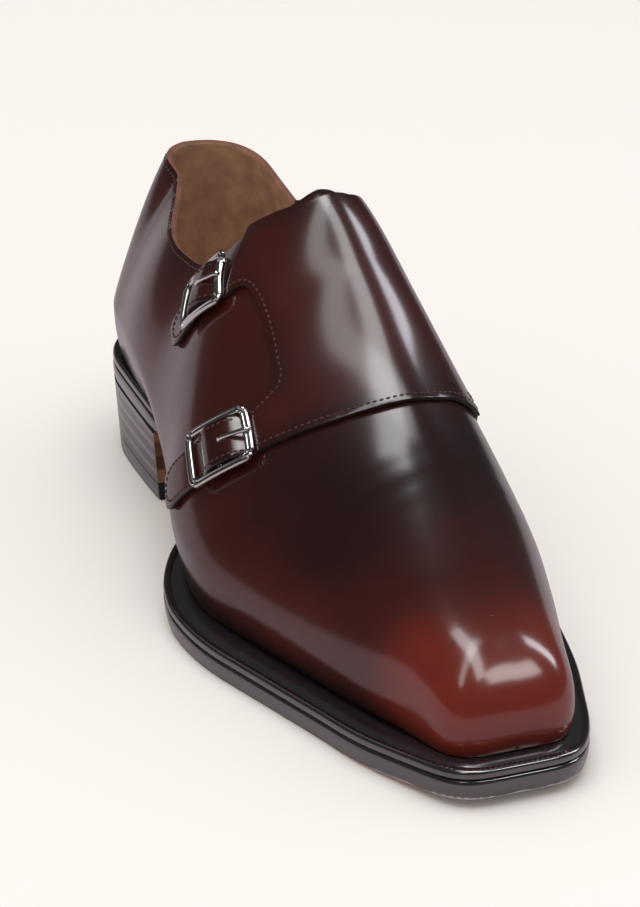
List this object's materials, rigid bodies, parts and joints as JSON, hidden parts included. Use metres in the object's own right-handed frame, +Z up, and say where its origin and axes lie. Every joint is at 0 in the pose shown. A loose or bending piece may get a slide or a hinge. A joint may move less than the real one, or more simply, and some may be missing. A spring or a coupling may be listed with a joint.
{
  "type": "monk strap shoe",
  "caption": "Low leather dress shoe with a chisel toe, a strap flap over the instep fastened by buckles on the outer side, a welted leather sole and a stacked heel.",
  "frame": {"origin": "centre of the heel's flat resting face", "axes": "+Z up, +Y towards the back of the heel, the toe along -Y, +X towards the inner side of the right foot"},
  "size_m": [0.1095, 0.303, 0.121],
  "materials": {
    "calf": "polished, patinated oxblood calf",
    "sole_edge": "black, waxed",
    "welt": "black, wheeled",
    "heel": "black edges, waxed",
    "top_piece": "matt black",
    "toe_plate": "plain steel",
    "insole": "natural tan",
    "buckle": "polished nickel"
  },
  "bodies": {
    "root": {"outsole": "sole_edge", "welt": "welt", "heel_rand": "welt", "heel_stack": "heel", "heel_top_piece": "top_piece", "toe_plate": "toe_plate", "insole": "insole", "upper": "calf", "tongue": "calf", "strap_flap": "calf", "upper_strap": "calf", "lower_strap": "calf", "upper_buckle": "buckle", "lower_buckle": "buckle"}
  },
  "joints": []
}
